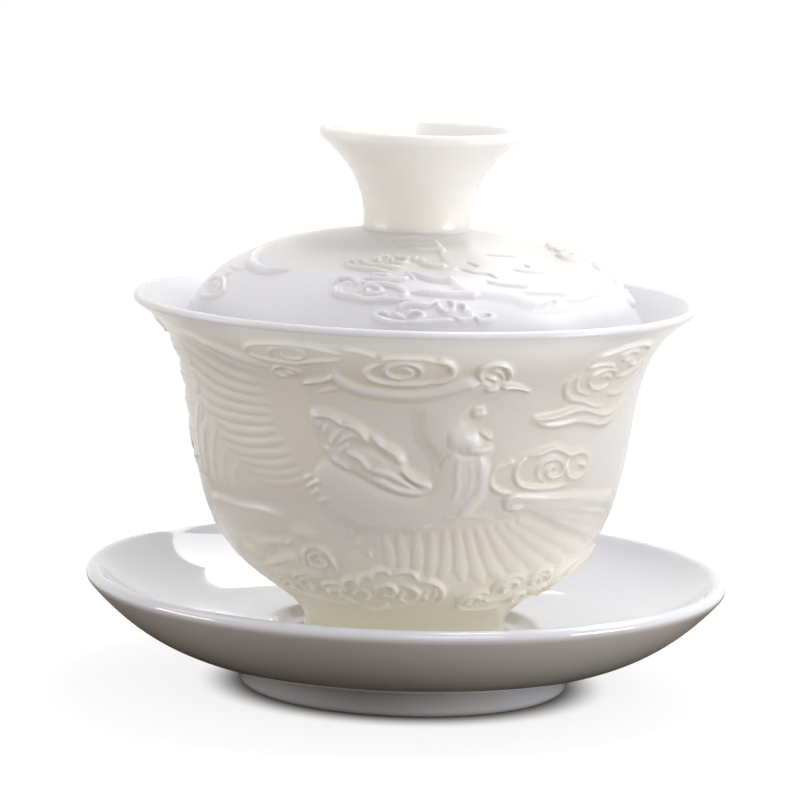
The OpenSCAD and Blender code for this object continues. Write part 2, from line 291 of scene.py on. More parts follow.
# %% [markdown]
# ## Throwing
# The profile is drawn as a curve in the plane of the axis and made into a line of edges.
# A Screw modifier turns that line round the axis. Spin in edit mode does the same, but it
# slows down with hundreds of columns. The front half is turned with more columns than the
# back half, because its relief is the finest. The two halves and the poles on the axis are
# closed by merging doubles.

# %% The wheel
def thrown(name, profile, front, back):
    """Turns a profile round the axis, with a number of columns for each half."""
    bpy.ops.object.select_all(action="DESELECT")
    bpy.ops.curve.primitive_bezier_curve_add(location=(0, 0, 0))
    drawn = bpy.context.object.data.splines
    drawn.clear()
    edge = drawn.new("POLY")
    edge.points.add(len(profile) - 1)
    for spot, (r, z) in zip(edge.points, profile):
        spot.co = (max(r, 0) * MM, 0, z * MM, 1)
    bpy.ops.object.convert(target="MESH")
    halves = [bpy.context.object]
    bpy.ops.object.duplicate()
    halves.append(bpy.context.object)
    for half, columns, turn in zip(halves, (front, back), (-math.pi, math.pi)):
        bpy.context.view_layer.objects.active = half
        wheel = half.modifiers.new("wheel", "SCREW")
        wheel.angle, wheel.axis = turn, "Z"
        wheel.steps = wheel.render_steps = columns
        bpy.ops.object.modifier_apply(modifier=wheel.name)
        half.select_set(True)
    bpy.ops.object.join()
    piece = bpy.context.object
    piece.name = piece.data.name = name
    bpy.ops.object.mode_set(mode="EDIT")
    bpy.ops.mesh.select_all(action="SELECT")
    bpy.ops.mesh.remove_doubles(threshold=1e-6)
    bpy.ops.mesh.normals_make_consistent(inside=False)
    bpy.ops.object.mode_set(mode="OBJECT")
    bpy.ops.object.shade_smooth()
    print(name, "thrown with", len(piece.data.polygons), "faces")
    return piece


def dress(piece, glaze, node, body):
    """Glazes a finished piece and hands it to the frame in place of a CAD node."""
    piece.data.materials.clear()
    piece.data.materials.append(glaze)
    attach(piece, body)
    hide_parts(node)


# %% [markdown]
# ## Saucer
# A shallow plate on a foot ring, with a round lip and a small well that takes the bowl's
# foot. Its heights come from the frame, so that it stands exactly where the solid does.
# Points that face down are marked as its reverse, which is painted darker and warmer, a painted shade under the plate.

# %% Saucer
saucer_top = (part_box("saucer")[1] / MM).z
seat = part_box("bowl")[0].z / MM
foot_r, foot_h = 29.1, 5
ring_r = foot_r - 4
lip_r, rim_heading = 1.3, 49
rim_mid = Vector((56.25 - lip_r, saucer_top - lip_r))
well_r, well_rim = 19.4, Vector((23.4, seat + 2.3))
underside = sweep((foot_r, foot_h), 1, rim_mid - left_of(rim_heading) * lip_r, rim_heading, (0.36, 0.37))
plate = sweep(well_rim, 4, rim_mid + left_of(rim_heading) * lip_r, rim_heading, (0.4, 0.33))
well_side = sweep((well_r, seat), 0, well_rim, 62, (0.5, 0.4))
profile = line((0, foot_h), (ring_r, foot_h), 8) + [Vector((ring_r, foot_h))]
profile += ring_foot(ring_r, foot_r, 0, 1.2, 6)
profile += trace(underside, 40) + half_round(rim_mid, lip_r, rim_heading, 12)
profile += trace(plate, 44, 1, 0) + trace(well_side, 10, 1, 0)[1:]
profile += line((well_r, seat), (0, seat), 6)[1:] + [Vector((0, seat))]
saucer = thrown("saucer_porcelain", profile, 128, 128)
# Painted shade: the more a point faces down, the more of the darker reverse tone it takes.
under = [min(max(-3 * point.normal.z, 0), 1) for point in saucer.data.vertices]
saucer.data.attributes.new("reverse", "FLOAT", "POINT").data.foreach_set("value", under)
dress(saucer, saucer_glaze, "saucer", "saucer")

# %% [markdown]
# ## Bowl
# A footed bowl with a round belly and a wide flare. It is thrown plain first, and the
# ornament is raised from its outer wall in the next cells.

# %% Bowl
rim_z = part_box("bowl")[1].z / MM
foot_r, foot_top = 17.7, seat + 4.1
belly = Vector((36, seat + 25.3))
bowl_wall, lip_r, rim_heading = 2.3, 0.8, 32
rim_mid = Vector((49 - lip_r, rim_z - lip_r))
lower = sweep((foot_r, foot_top), 62, belly, 73, (0.26, 0.53))
flare = sweep(belly, 73, rim_mid - left_of(rim_heading) * lip_r, rim_heading, (0.44, 0.38))
lower_in = trace(lower, 20, side=(bowl_wall, bowl_wall))
floor_z = lower_in[0].y
ring_r, under_z = foot_r - 3.2, floor_z - 3.4
fillet = sweep((lower_in[0].x - 3, floor_z), 0, lower_in[4], heading_on(lower, 0.2), (0.4, 0.4))
bowl_outside = trace(lower, 76) + trace(flare, 124)[1:]
profile = line((0, under_z), (ring_r, under_z), 3)
profile += [Vector((ring_r, under_z))] + ring_foot(ring_r, foot_r, seat, 0.6, 3)
profile += bowl_outside + half_round(rim_mid, lip_r, rim_heading, 8)
profile += trace(flare, 14, 1, 0, (bowl_wall, 2 * lip_r))
profile += trace(lower, 7, 1, 0.2, (bowl_wall, bowl_wall))[1:]
profile += trace(fillet, 4, 1, 0) + line((fillet[0].x, floor_z), (0, floor_z), 3)[1:]
profile += [Vector((0, floor_z))]
bowl = thrown("bowl_porcelain", profile, 380, 300)
dress(bowl, bowl_glaze, "bowl", "bowl")

# %% [markdown]
# ## Clay relief
# Low relief is a drawing in clay: cords, patches, buttons and pressed lines. Each stroke is
# given by a few points on the wall, as degrees round from the front and millimetres up from
# the foot. The strokes could be sculpted by hand, but written down they can be turned,
# mirrored and used again on the back of the bowl. The drawn heights become the weights of
# a vertex group, and a Displace modifier lifts the wall by them. That takes many small
# faces, so a Decimate modifier thins the mesh again where the wall is plain.

# %% Clay on a wall
def smooth(points, closed=False, fine=6):
    """A smooth path through a few given points."""
    p = np.array(points, float)
    if closed:
        p = np.vstack([p[-1:], p, p[:2]])
    else:
        p = np.vstack([2 * p[:1] - p[1:2], p, 2 * p[-1:] - p[-2:-1]])
    t = np.linspace(0, 1, fine, endpoint=False)[:, None]
    runs = []
    for a, b, c, d in zip(p, p[1:], p[2:], p[3:]):
        bend = (2 * a - 5 * b + 4 * c - d) * t**2 + (3 * b - a - 3 * c + d) * t**3
        runs.append(b + ((c - a) * t + bend) / 2)
    return np.vstack(runs + [p[-2:-1]])


def tapered(share, taper):
    """1 along a stroke, falling to 0 over a share of its length at each end."""
    begin, end = share / (taper[0] + 1e-6), (1 - share) / (taper[1] + 1e-6)
    return np.minimum(1, np.minimum(begin, end))


class Clay:
    """Clay laid on a round wall. Places are (degrees round from the front, millimetres up)."""

    HALO = 1.4

    def __init__(self, angle, rise, radius):
        self.angle, self.rise = angle, rise
        self.arc = np.radians(radius)
        self.mass, self.line, self.cut, self.near = np.zeros((4, len(rise)))
        self.turn, self.side, self.up = 0, 1, 0

    def moved(self, turn=0, side=1, up=0):
        """From here on, figures are turned round the wall, mirrored or raised."""
        self.turn, self.side, self.up = turn, side, up
        return self

    def reach(self, points, margin, closed=False):
        """The wall's points near a path: which they are, how far off, and how far along it."""
        path = smooth(points, closed) * (self.side, 1) + (self.turn, self.up)
        low, high = path.min(0), path.max(0)
        middle = (low[0] + high[0]) / 2
        angle = (self.angle - middle + 180) % 360 - 180 + middle
        wide = margin / self.arc
        near = (angle > low[0] - wide) & (angle < high[0] + wide)
        near &= (self.rise > low[1] - margin) & (self.rise < high[1] + margin)
        spots = np.nonzero(near)[0]
        arc = self.arc[spots, None]
        x = (angle[spots, None] - path[:-1, 0]) * arc
        y = self.rise[spots, None] - path[:-1, 1]
        step_x, step_y = np.diff(path[:, 0]) * arc, np.diff(path[:, 1])
        t = np.clip((x * step_x + y * step_y) / (step_x**2 + step_y**2 + 1e-9), 0, 1)
        off = np.hypot(x - t * step_x, y - t * step_y)
        best = off.argmin(1)
        row = np.arange(len(spots))
        crossed = (path[:-1, 1] > self.rise[spots, None]) != (path[1:, 1] > self.rise[spots, None])
        with np.errstate(divide="ignore", invalid="ignore"):
            cross_x = y / step_y * step_x - x
        inside = (crossed & (cross_x > 0)).sum(1) % 2 == 1
        return spots, off[row, best], (best + t[row, best]) / (len(path) - 1), inside

    def lay(self, layer, spots, lift, off):
        layer[spots] = np.maximum(layer[spots], lift)
        self.near[spots] = np.maximum(self.near[spots], np.clip(1 - off / self.HALO, 0, 1) ** 2)

    def ridge(self, points, width, height, taper=(0.15, 0.15), power=1.4):
        """A cord of clay, thinned out over a share of its length at each end."""
        spots, off, share, _ = self.reach(points, width / 2 + self.HALO)
        ease = tapered(share, taper)
        half = width / 2 * (0.4 + 0.6 * ease)
        round_top = np.clip(1 - (off / half) ** 2, 0, 1) ** power
        self.lay(self.line, spots, height * (0.5 + 0.5 * ease) * round_top, off - half)

    def pad(self, points, height, edge=1.2, swell=0.0, deep=7.0):
        """A flat patch inside an outline, with a soft edge and a swelling middle."""
        spots, off, _, inside = self.reach(points, edge + self.HALO, closed=True)
        depth = np.where(inside, off, -off)
        t = np.clip(depth / edge + 0.5, 0, 1)
        crown = 1 - (1 - np.clip(depth / deep, 0, 1)) ** 2
        self.lay(self.mass, spots, height * t * t * (3 - 2 * t) + swell * crown, -depth)

    def bead(self, place, size, height):
        """A low round button of clay, size in degrees and millimetres."""
        x, y = np.array(size) * 0.5
        ring = [(place[0] - x, place[1]), (place[0] + x, place[1])]
        half = size[1]
        spots, off, _, _ = self.reach(ring, half + self.HALO)
        self.lay(self.line, spots, height * np.clip(1 - (off / half) ** 2, 0, 1), off - half)

    def groove(self, points, width, depth, taper=(0.2, 0.2)):
        """A line pressed into the clay."""
        spots, off, share, _ = self.reach(points, width)
        ease = tapered(share, taper)
        press = depth * ease * np.clip(1 - (off / width * 2) ** 2, 0, 1) ** 1.2
        self.cut[spots] = np.maximum(self.cut[spots], press)

    def curl(self, place, size, begin, turns, width, height):
        """A spiral cord that winds in to its middle; turns below 0 wind clockwise."""
        path = []
        for t in np.linspace(0, 1, int(8 * abs(turns)) + 2):
            a, shrink = math.radians(begin + 360 * turns * t), 1 - 0.8 * t
            path.append((place[0] + size[0] * shrink * math.cos(a), place[1] + size[1] * shrink * math.sin(a)))
        self.ridge(path, width, height, (0.1, 0.2))

    def height(self):
        return np.clip(self.mass + self.line - self.cut, 0, None)

    def hollow(self):
        """How deep a point lies between raised ones, from 0 to 1."""
        return self.near * np.clip(1 - self.height() / 0.7, 0, 1)

    def raised(self):
        """How far a point stands out, from 0 to 1."""
        return np.clip(self.line / 0.6, 0, 1)


# %% Raising the clay
def on_wall(piece, outside):
    """The points of a thrown piece that lie on its outer wall, as clay to draw on."""
    flat = np.empty(len(piece.data.vertices) * 3)
    piece.data.vertices.foreach_get("co", flat)
    x, y, z = flat.reshape(-1, 3).T / MM
    edge = np.array([tuple(point) for point in outside])
    run = np.append(0, np.cumsum(np.hypot(*np.diff(edge, axis=0).T)))
    order = edge[:, 1].argsort()
    radius = np.hypot(x, y)
    wall = abs(np.interp(z, edge[order, 1], edge[order, 0]) - radius) < 0.02
    spots = np.nonzero(wall)[0]
    rise = np.interp(z[spots], edge[order, 1], run[order])
    angle = np.degrees(np.arctan2(x[spots], -y[spots]))
    return spots, Clay(angle, rise, radius[spots])


def raise_clay(piece, spots, clay, rim_glow=1e3):
    """Lifts the wall where clay lies on it, and keeps what the glaze needs: where the hollows and
    the raised parts are, how far the wall is into the painted glow near the thin rim, which
    begins at the rise given last, and which side is the reverse."""
    height = clay.height()
    top = height.max()
    group = piece.vertex_groups.new(name="clay")
    for spot, share in zip(spots, height / top):
        if share > 0.001:
            group.add([int(spot)], share, "REPLACE")
    lift = piece.modifiers.new("clay", "DISPLACE")
    lift.strength, lift.mid_level, lift.vertex_group = top * MM, 0, "clay"
    bpy.context.view_layer.objects.active = piece
    bpy.ops.object.modifier_apply(modifier=lift.name)
    # Painted glow: from the rise given last up to 9 mm past it, towards the rim, the wall is marked to be painted
    # paler, for light that shines through the thin flare.
    thin = np.clip((clay.rise - rim_glow) / 9, 0, 1) ** 1.5
    marks = ("hollow", clay.hollow(), 0), ("raised", clay.raised(), 0), ("rim_glow", thin, 0), ("reverse", 0, 1)
    for name, values, elsewhere in marks:
        everywhere = np.full(len(piece.data.vertices), float(elsewhere))
        everywhere[spots] = values
        piece.data.attributes.new(name, "FLOAT", "POINT").data.foreach_set("value", everywhere)
    print(piece.name, "relief up to", round(top, 2), "mm")


def triangles(piece):
    return sum(len(face.vertices) - 2 for face in piece.data.polygons)


def lighten(piece, most):
    """Thins the mesh where it is plain, so that it stays under a number of triangles."""
    bpy.context.view_layer.objects.active = piece
    before = triangles(piece)
    thin = piece.modifiers.new("thin", "DECIMATE")
    thin.ratio = most / before
    bpy.ops.object.modifier_apply(modifier=thin.name)
    print(piece.name, "thinned from", before, "to", triangles(piece), "triangles")


# %% [markdown]
# ## The bird and the clouds
# On the front a long-necked bird spreads one wing to the left and folds the other on its
# back, among clouds with curled heads. Its tail feathers hang below it like petals.

# %% Cloud over the wing
def cloud_over_wing(clay):
    clay.pad([(-40.5, 58.8), (-38, 60.9), (-33, 62.1), (-27, 62.7), (-20, 62.4), (-14, 62.2),
              (-8, 61.2), (-2, 60.8), (3, 60.8), (8, 59.8), (9.4, 57.8), (8.4, 56), (3, 54.5),
              (-4, 54.1), (-10, 54.6), (-14, 57), (-20, 58.2), (-27, 57.2), (-36, 57.6)], 0.14, 1.8)
    clay.ridge([(-40, 58.8), (-38.4, 60.4), (-35, 61.5), (-30, 62.1), (-25, 62.3), (-21, 61.9),
                (-17.5, 61.1), (-15.2, 60.5)], 1.2, 0.5)
    clay.ridge([(-40, 58.8), (-37, 58.1), (-32, 57.7), (-27, 57.7), (-23.5, 58.3), (-20, 58.8),
                (-17, 59.1), (-15.4, 60)], 1.1, 0.5)
    clay.ridge([(-33.2, 58.6), (-32.8, 60), (-30.5, 61), (-27, 61.3), (-24.5, 60.8), (-24, 59.7),
                (-25.6, 58.9), (-28, 58.8), (-29.6, 59.4), (-28.4, 60.1)], 0.9, 0.55)
    clay.ridge([(-15.4, 61.8), (-12.5, 61.8), (-9.6, 61.1), (-8, 60.3)], 1.1, 0.4)
    clay.ridge([(-7.2, 59.2), (-6, 60.2), (-2, 60.5), (1, 60.4), (3.4, 60.3), (4.7, 59.4)], 1.1, 0.5)
    clay.ridge([(4.4, 59.6), (6.5, 59.9), (8.2, 59.2), (9, 57.9), (8.6, 56.6), (7, 55.6), (4, 55)], 1.3, 0.7)
    clay.ridge([(1.2, 56.1), (1.9, 57.3), (1, 58.7), (-1.5, 59.3), (-4.6, 58.9), (-6.2, 57.7),
                (-5.3, 56.5), (-2.8, 56), (-0.6, 56.6), (-0.5, 57.7), (-2, 58.2), (-3.4, 57.6)], 0.9, 0.55)
    clay.ridge([(-6.5, 59), (-9.4, 58), (-10.6, 56.7), (-9.4, 55.6), (-6, 54.9), (-2, 54.8),
                (2, 55), (5.5, 55.5)], 1.2, 0.6)
    clay.ridge([(-26.6, 54.8), (-26.9, 55.9), (-29.5, 56.6), (-32, 56.5), (-33.3, 55.7), (-32, 54.9),
                (-29.5, 54.7)], 0.8, 0.5)
    clay.bead((-28.8, 55.5), (1.6, 0.5), 0.4)
    clay.ridge([(-26.3, 53.5), (-24, 54.1), (-21, 54.5), (-19, 55.2), (-17.8, 56.2)], 1.1, 0.6)
    clay.ridge([(-22.5, 52.2), (-20, 52.8), (-17.5, 53.2)], 0.9, 0.3)


# %% Bird
def bird_body(clay):
    clay.pad([(2, 50.5), (5, 52.3), (9, 54.2), (13, 55.8), (16, 56), (19, 55.6), (21.5, 55), (21, 53.6),
              (18.5, 52.8), (15.5, 51.8), (13.5, 50), (12.3, 48.4), (13.6, 47), (15, 45.4), (17.5, 44.2),
              (19.3, 43.2), (18.6, 42.3), (19, 40), (19.6, 37.5), (19, 35.6), (16.8, 33.6), (15.2, 31.9),
              (12.5, 30.6), (8, 29.9), (4, 29.2), (-2, 28.6), (-9, 28.4), (-14, 28.8), (-19, 30.5),
              (-24, 34), (-25, 38), (-21, 40.5), (-15, 38.8), (-8, 36.6), (-2, 35.2), (4, 35.3),
              (6.8, 38.5), (6.5, 41.5), (4.5, 43.5), (2.4, 45.3), (1.8, 48)], 0.55, 3.0, 0.35, 6)
    clay.bead((13, 45.2), (4, 1.9), 0.45)
    clay.bead((17, 43.3), (4, 0.9), 0.4)
    clay.ridge([(17.4, 41.8), (18.4, 39.8), (18.7, 37.6), (18.2, 35.8), (16.4, 34), (14.8, 32.4),
                (12.5, 31.1)], 2.8, 0.35)
    clay.ridge([(11.9, 42), (11.6, 39), (12, 37), (11, 34.8)], 1.2, 0.22)
    clay.ridge([(14.4, 41.6), (15.2, 39.4), (15.2, 37), (14, 34.8)], 1.0, 0.12)
    clay.groove([(10.8, 43.2), (12.4, 42.4), (14.2, 42.2), (17.2, 42.3)], 1.1, 0.28)
    clay.ridge([(9.6, 31.2), (14, 31.3), (18, 31.2), (22, 31)], 0.9, 0.25, (0.3, 0.3))
    clay.ridge([(-1, 28.6), (2, 29), (5.6, 29.8)], 1.5, 0.35, (0.4, 0.2))
    clay.groove([(8.6, 46.3), (8.7, 44.4)], 0.8, 0.2)
    clay.groove([(9.6, 42.4), (8, 41.4), (7, 39.4)], 1.0, 0.3)


def bird_head(clay):
    clay.ridge([(-18.2, 56.6), (-17.6, 55.2), (-15.5, 54), (-12, 53.1), (-7, 52.6), (-2, 52.4), (3, 52.8),
                (8, 53.9), (12, 55), (14.5, 55.3)], 2.5, 0.6, (0.15, 0.05))
    clay.ridge([(15.9, 55.7), (14.9, 57.1), (15.4, 58.6), (17.4, 59.3), (19.8, 59.1), (21.6, 58.1),
                (22.5, 56.6), (22, 55.6)], 1.1, 0.8)
    clay.ridge([(17.6, 57.5), (19.2, 57.5), (20.4, 56.8), (20.8, 56)], 0.7, 0.5)
    clay.ridge([(16.6, 56.4), (18.2, 56.2), (19.2, 55.6)], 0.7, 0.5)
    clay.ridge([(15.8, 55.3), (17.6, 55)], 0.6, 0.35)
    clay.bead((18.4, 54.2), (1.4, 0.7), 0.5)
    clay.ridge([(20.8, 54.7), (23, 54.5), (25.5, 54.1), (28.2, 53.3)], 1.5, 1.0, (0.05, 0.6))
    clay.ridge([(14.6, 50.3), (16, 50.4), (17.6, 50.3)], 1.0, 0.5)
    clay.bead((16.2, 49.5), (1.4, 0.9), 0.6)
    clay.ridge([(17, 46.3), (18.4, 45.7), (19.9, 45)], 1.0, 0.65)


def folded_wing(clay):
    clay.pad([(-24.4, 48.8), (-21, 49), (-17.5, 48.3), (-14, 47.5), (-10.5, 46), (-7, 44.4), (-3, 43),
              (-1.4, 41.2), (-1, 39.8), (2, 38.3), (5.4, 37.2), (5, 35.8), (1, 35), (-4, 35.6), (-9, 36.9),
              (-13, 38.4), (-17, 39.6), (-20.5, 41.4), (-22.6, 44), (-24.6, 47)], 0.7, 1.6)
    scallops = [
        [(-23.8, 48), (-22.2, 48.4), (-19.6, 48.4), (-17.9, 47.7), (-16.8, 46.8)],
        [(-17, 47), (-14.5, 47), (-12.6, 46.3), (-11.2, 45.2), (-10.6, 44.1)],
        [(-9.6, 45.6), (-8, 44.7), (-7, 43.7), (-6.2, 43.2)],
        [(-6.4, 43.4), (-4.6, 42.8), (-3, 42), (-2.2, 40.8)],
        [(-15.4, 42.2), (-12.5, 41.5), (-10.8, 40.2), (-9.6, 39.4)],
        [(-10.2, 39.5), (-7.5, 39.2), (-5, 38.8), (-2.6, 38), (0.5, 36.9)],
        [(-1.2, 39.3), (0.3, 38.4), (2, 37.8), (4.8, 37.3)],
        [(-8.6, 37.7), (-6, 37.2), (-4, 36.4), (-1, 35.9), (3.4, 35.7)],
        [(-19.8, 41), (-17.2, 40.1), (-15, 39.2)],
    ]
    for scallop in scallops:
        clay.ridge(scallop, 1.4, 0.5)
    quills = [
        [(-21.6, 45), (-20.2, 46.8)],
        [(-19.8, 43.2), (-18.5, 44.8), (-17, 46)],
        [(-17.6, 43.4), (-16, 44.7), (-13.4, 45.1)],
        [(-17.4, 41.9), (-16.2, 43.1), (-15.2, 43.5)],
    ]
    for quill in quills:
        clay.ridge(quill, 0.8, 0.3)
    clay.groove([(-15.4, 43.6), (-12.4, 43.3), (-9, 43.2), (-5.6, 41.6), (-4, 40)], 2.2, 0.4)
    clay.groove([(-2.8, 39.2), (-0.6, 38), (1.4, 36.9), (3.6, 36.4)], 0.8, 0.5)
    clay.groove([(-22.6, 46.4), (-21.6, 44), (-20.4, 42.6)], 1.4, 0.35)


def spread_wing(clay):
    clay.pad([(-34, 56.2), (-28, 53), (-26, 49.5), (-25, 46), (-22, 42), (-22, 38), (-25, 34.5), (-30, 33),
              (-42, 33), (-56, 31.6), (-70, 33), (-76, 40), (-77, 50), (-74, 57), (-62, 61), (-54, 60.4),
              (-44, 57.8)], 0.25, 3.0)
    clay.ridge([(-35, 56.2), (-40, 57), (-45, 57.7), (-50, 58.6), (-56, 60), (-63, 61.2)], 2.4, 0.35, (0.2, 0.4))
    feathers = [
        [(-38, 55), (-46, 55.9), (-54, 57.7), (-66, 60)],
        [(-38, 52.8), (-46, 53.3), (-54, 54.6), (-62, 56.6), (-70, 59)],
        [(-37.5, 51), (-46, 51.1), (-54, 51.9), (-62, 53.6), (-71, 56.4)],
        [(-36.5, 49.2), (-46, 49.3), (-54, 49.7), (-62, 51), (-71, 53.8)],
        [(-36.5, 47.5), (-46, 47.4), (-54, 47.6), (-60, 48.2), (-68, 50)],
        [(-36, 46), (-46, 45.6), (-54, 45.6), (-60, 46), (-66, 47.2)],
        [(-35.5, 44.4), (-42, 43.7), (-50, 43.5), (-57, 44.2)],
        [(-33, 43), (-40, 42), (-48, 41.5), (-55.5, 42)],
        [(-31, 41.2), (-38, 40.2), (-46, 39.8), (-53, 40.2)],
        [(-29.5, 39.5), (-36, 38.5), (-42, 38.2), (-49, 38.5)],
        [(-28.5, 38), (-34, 37), (-40, 36.7), (-46, 37)],
        [(-28, 36.4), (-33, 35.5), (-38, 35.2), (-43, 35.4)],
    ]
    for feather in feathers:
        clay.ridge(feather, 1.7, 0.16, (0.15, 0.2), 0.9)
        clay.ridge([(turn, up + 0.5) for turn, up in feather], 0.7, 0.12, (0.15, 0.2))
    tips = [(-82, 55.6), (-86, 50.4), (-87, 45.4), (-85, 40.6), (-81, 36.2)]
    for tip, up in tips:
        clay.pad([(-66, up + 2.6), (tip + 6, up + 2.5), (tip + 1, up + 1.2), (tip, up - 0.4),
                  (tip + 2, up - 1.8), (tip + 7, up - 2.4), (-66, up - 2.4)], 0.4, 1.4)
        clay.ridge([(-72, up + 0.6), (tip + 6, up + 0.3), (tip + 1.5, up - 0.2)], 1.3, 0.22, (0.5, 0.2), 0.9)
    quills = [
        [(-67, 46.4), (-70.5, 42), (-71, 37), (-69, 33)],
        [(-62.6, 44.6), (-66, 40.6), (-67, 36), (-65, 32.6)],
        [(-58, 43), (-61, 39.4), (-62, 35.8), (-60.4, 32.4)],
        [(-54.4, 39.6), (-56.4, 37), (-57, 34.6), (-55.6, 32.2)],
        [(-49.6, 37.4), (-51.4, 35.4), (-51.6, 33.6), (-50.4, 32)],
    ]
    for quill in quills:
        clay.ridge(quill, 2.0, 0.13, (0.1, 0.3), 0.9)
    for stroke in ([(-27.6, 36.6), (-25, 37.7)], [(-27, 35.2), (-24.6, 36.3), (-22.6, 36.8)],
                   [(-26, 34), (-23, 35.2)], [(-24, 32.8), (-21, 33.8)]):
        clay.ridge(stroke, 0.9, 0.35)


# %% Clouds and plumes on the right
def cloud_at_rim(clay):
    clay.pad([(38.4, 53.6), (40, 51.6), (44, 50.7), (49, 49.8), (55, 49.2), (62, 50), (67, 53), (68, 57.5),
              (65, 61), (58, 62.4), (51, 61.6), (45, 60.4), (43, 58.4), (42.6, 56), (40.4, 55.8)], 0.14, 1.8)
    clay.ridge([(40.4, 55.7), (38.6, 54.3), (39, 52.6), (41, 51.4), (45, 50.8), (49, 49.8), (54, 49.3)], 1.2, 0.5)
    clay.ridge([(42.2, 56.2), (41.4, 54.6), (42.4, 53), (45, 52.2), (48, 51.9)], 0.9, 0.4)
    clay.ridge([(55.5, 54.2), (54.5, 55.8), (51, 56.5), (47.4, 56.1), (45.6, 54.8), (46.8, 53.3), (50, 52.7),
                (53, 53.2), (53.6, 54.4), (51.6, 55.2), (49.4, 54.8)], 0.9, 0.5)
    clay.ridge([(43.4, 57.1), (46, 57.7), (50, 57.6), (53, 57)], 1.0, 0.5)
    clay.ridge([(43.8, 58.5), (45.6, 60), (48.4, 60.6), (52, 61.5), (57, 62), (62, 61.2), (66, 59.6)], 1.2, 0.55)
    clay.curl((56.5, 58.9), (4.4, 1.7), 200, -1.4, 0.9, 0.5)
    clay.bead((61.6, 56.8), (1.6, 0.7), 0.5)
    clay.ridge([(56, 54.6), (60, 54.8), (64, 55.8), (67, 57.4)], 1.0, 0.45)
    clay.ridge([(55, 51.4), (60, 51.4), (65, 52.8), (69, 55)], 1.0, 0.45)


def ribbon(clay):
    clay.pad([(30.6, 48.3), (34, 48.7), (38, 48.9), (42, 49.6), (46, 49.8), (50, 49.1), (55, 48.3), (59, 48.4),
              (63, 50), (66.5, 51), (65, 48.8), (61, 46.8), (57, 45.7), (53, 45.7), (49, 46.4), (45, 46.9),
              (41, 46.6), (37, 46.4), (33, 47)], 0.4, 1.5)
    clay.ridge([(31, 48.2), (34, 48.2), (38, 48.5), (42, 49.2), (46, 49.3), (50, 48.6), (55, 47.8), (60, 48.4),
                (64, 50)], 1.0, 0.35)
    clay.ridge([(32, 47.5), (35, 46.9), (39, 46.9), (44, 47.2), (49, 46.8), (54, 46.1), (59, 46.6),
                (64, 48.6)], 0.9, 0.3)


def cloud_at_breast(clay):
    clay.pad([(20.4, 38.6), (22, 40.4), (26, 41.2), (31, 42.3), (38, 43.2), (44, 42), (50, 41.8), (53, 40),
              (51, 36.6), (44, 35.3), (34, 35.4), (26, 34.9), (21.6, 36)], 0.14, 1.8)
    clay.ridge([(25.8, 40.8), (22.4, 40), (20.8, 38.8), (21, 37), (23.5, 35.7), (27, 35.3)], 1.2, 0.5)
    clay.ridge([(30, 41.3), (27.8, 40.2), (27.4, 38.4), (29, 36.8), (33, 36), (38, 35.8), (44, 35.8)], 1.1, 0.5)
    clay.ridge([(31, 41.8), (34, 42.1), (38, 42.8), (41, 42.3), (44, 41.4), (48, 41.6), (51.6, 40.6)], 1.1, 0.5)
    clay.ridge([(36, 37.2), (34, 38.1), (34, 39.6), (36, 40.7), (39.4, 40.9), (42, 39.8), (41.8, 38.2), (39, 37.6),
                (36.8, 38.4), (38, 39.5), (39.8, 39.2)], 0.9, 0.5)
    clay.ridge([(44, 40.4), (43.4, 38.8), (44.8, 37.4), (47.8, 37), (50, 37.8), (50, 39.2), (47.6, 39.4)], 0.9, 0.5)
    clay.bead((25.6, 40.8), (0.8, 0.5), 0.3)


def plume(clay):
    clay.pad([(25.4, 34), (27.4, 35), (34, 35), (42, 34.5), (50, 34.2), (60, 33.4), (70, 32), (72, 25), (64, 24.4),
              (56, 26.2), (50, 27.5), (44, 28.8), (38, 30.5), (33, 32), (28, 32.2)], 0.42, 1.2)
    clay.ridge([(29.6, 34.6), (27.4, 34.8), (25.7, 33.9), (26, 32.7), (28.4, 32.5), (31, 32.9)], 0.9, 0.4)
    for low in range(4):
        barb = [(30 + 2 * low, 34.2 - 0.5 * low), (44, 33.6 - 1.3 * low), (58, 32.2 - 1.9 * low),
                (70, 30.8 - 1.9 * low)]
        clay.ridge(barb, 1.6, 0.14, (0.3, 0.3))


# %% Tail feathers and low clouds
def tail_feathers(clay):
    petals = [
        [(-6.4, 27.4), (-5, 24), (-4.6, 20.4)],
        [(-2.4, 27.6), (-1.4, 24), (-1, 20.2)],
        [(2.2, 27.8), (2.9, 24), (3.2, 19.8)],
        [(6.2, 28), (6.9, 24), (7, 19.2)],
        [(10, 28.4), (10.8, 24), (11, 18.6)],
        [(13, 28.4), (14.8, 23.6), (17.6, 18)],
        [(16, 28.4), (19.4, 22.6), (24.6, 17)],
        [(19, 28.6), (24, 22.6), (31, 18)],
        [(22, 28.8), (29.4, 22.8), (39.4, 18.6)],
        [(25, 29), (35.4, 23.4), (48, 19)],
        [(28, 29.4), (41, 24.4), (56, 20.2)],
        [(31, 30), (46, 25.8), (64, 21.8)],
    ]
    for n, petal in enumerate(petals):
        clay.ridge(petal, 2.6 + 0.1 * n, 0.32, (0.7, 0.25), 0.8)
    for mark in ([(-16, 27.8), (-15, 27)], [(-13.6, 26.4), (-14, 25)], [(-10.4, 24.2), (-10.6, 22.8)]):
        clay.ridge(mark, 0.9, 0.4)


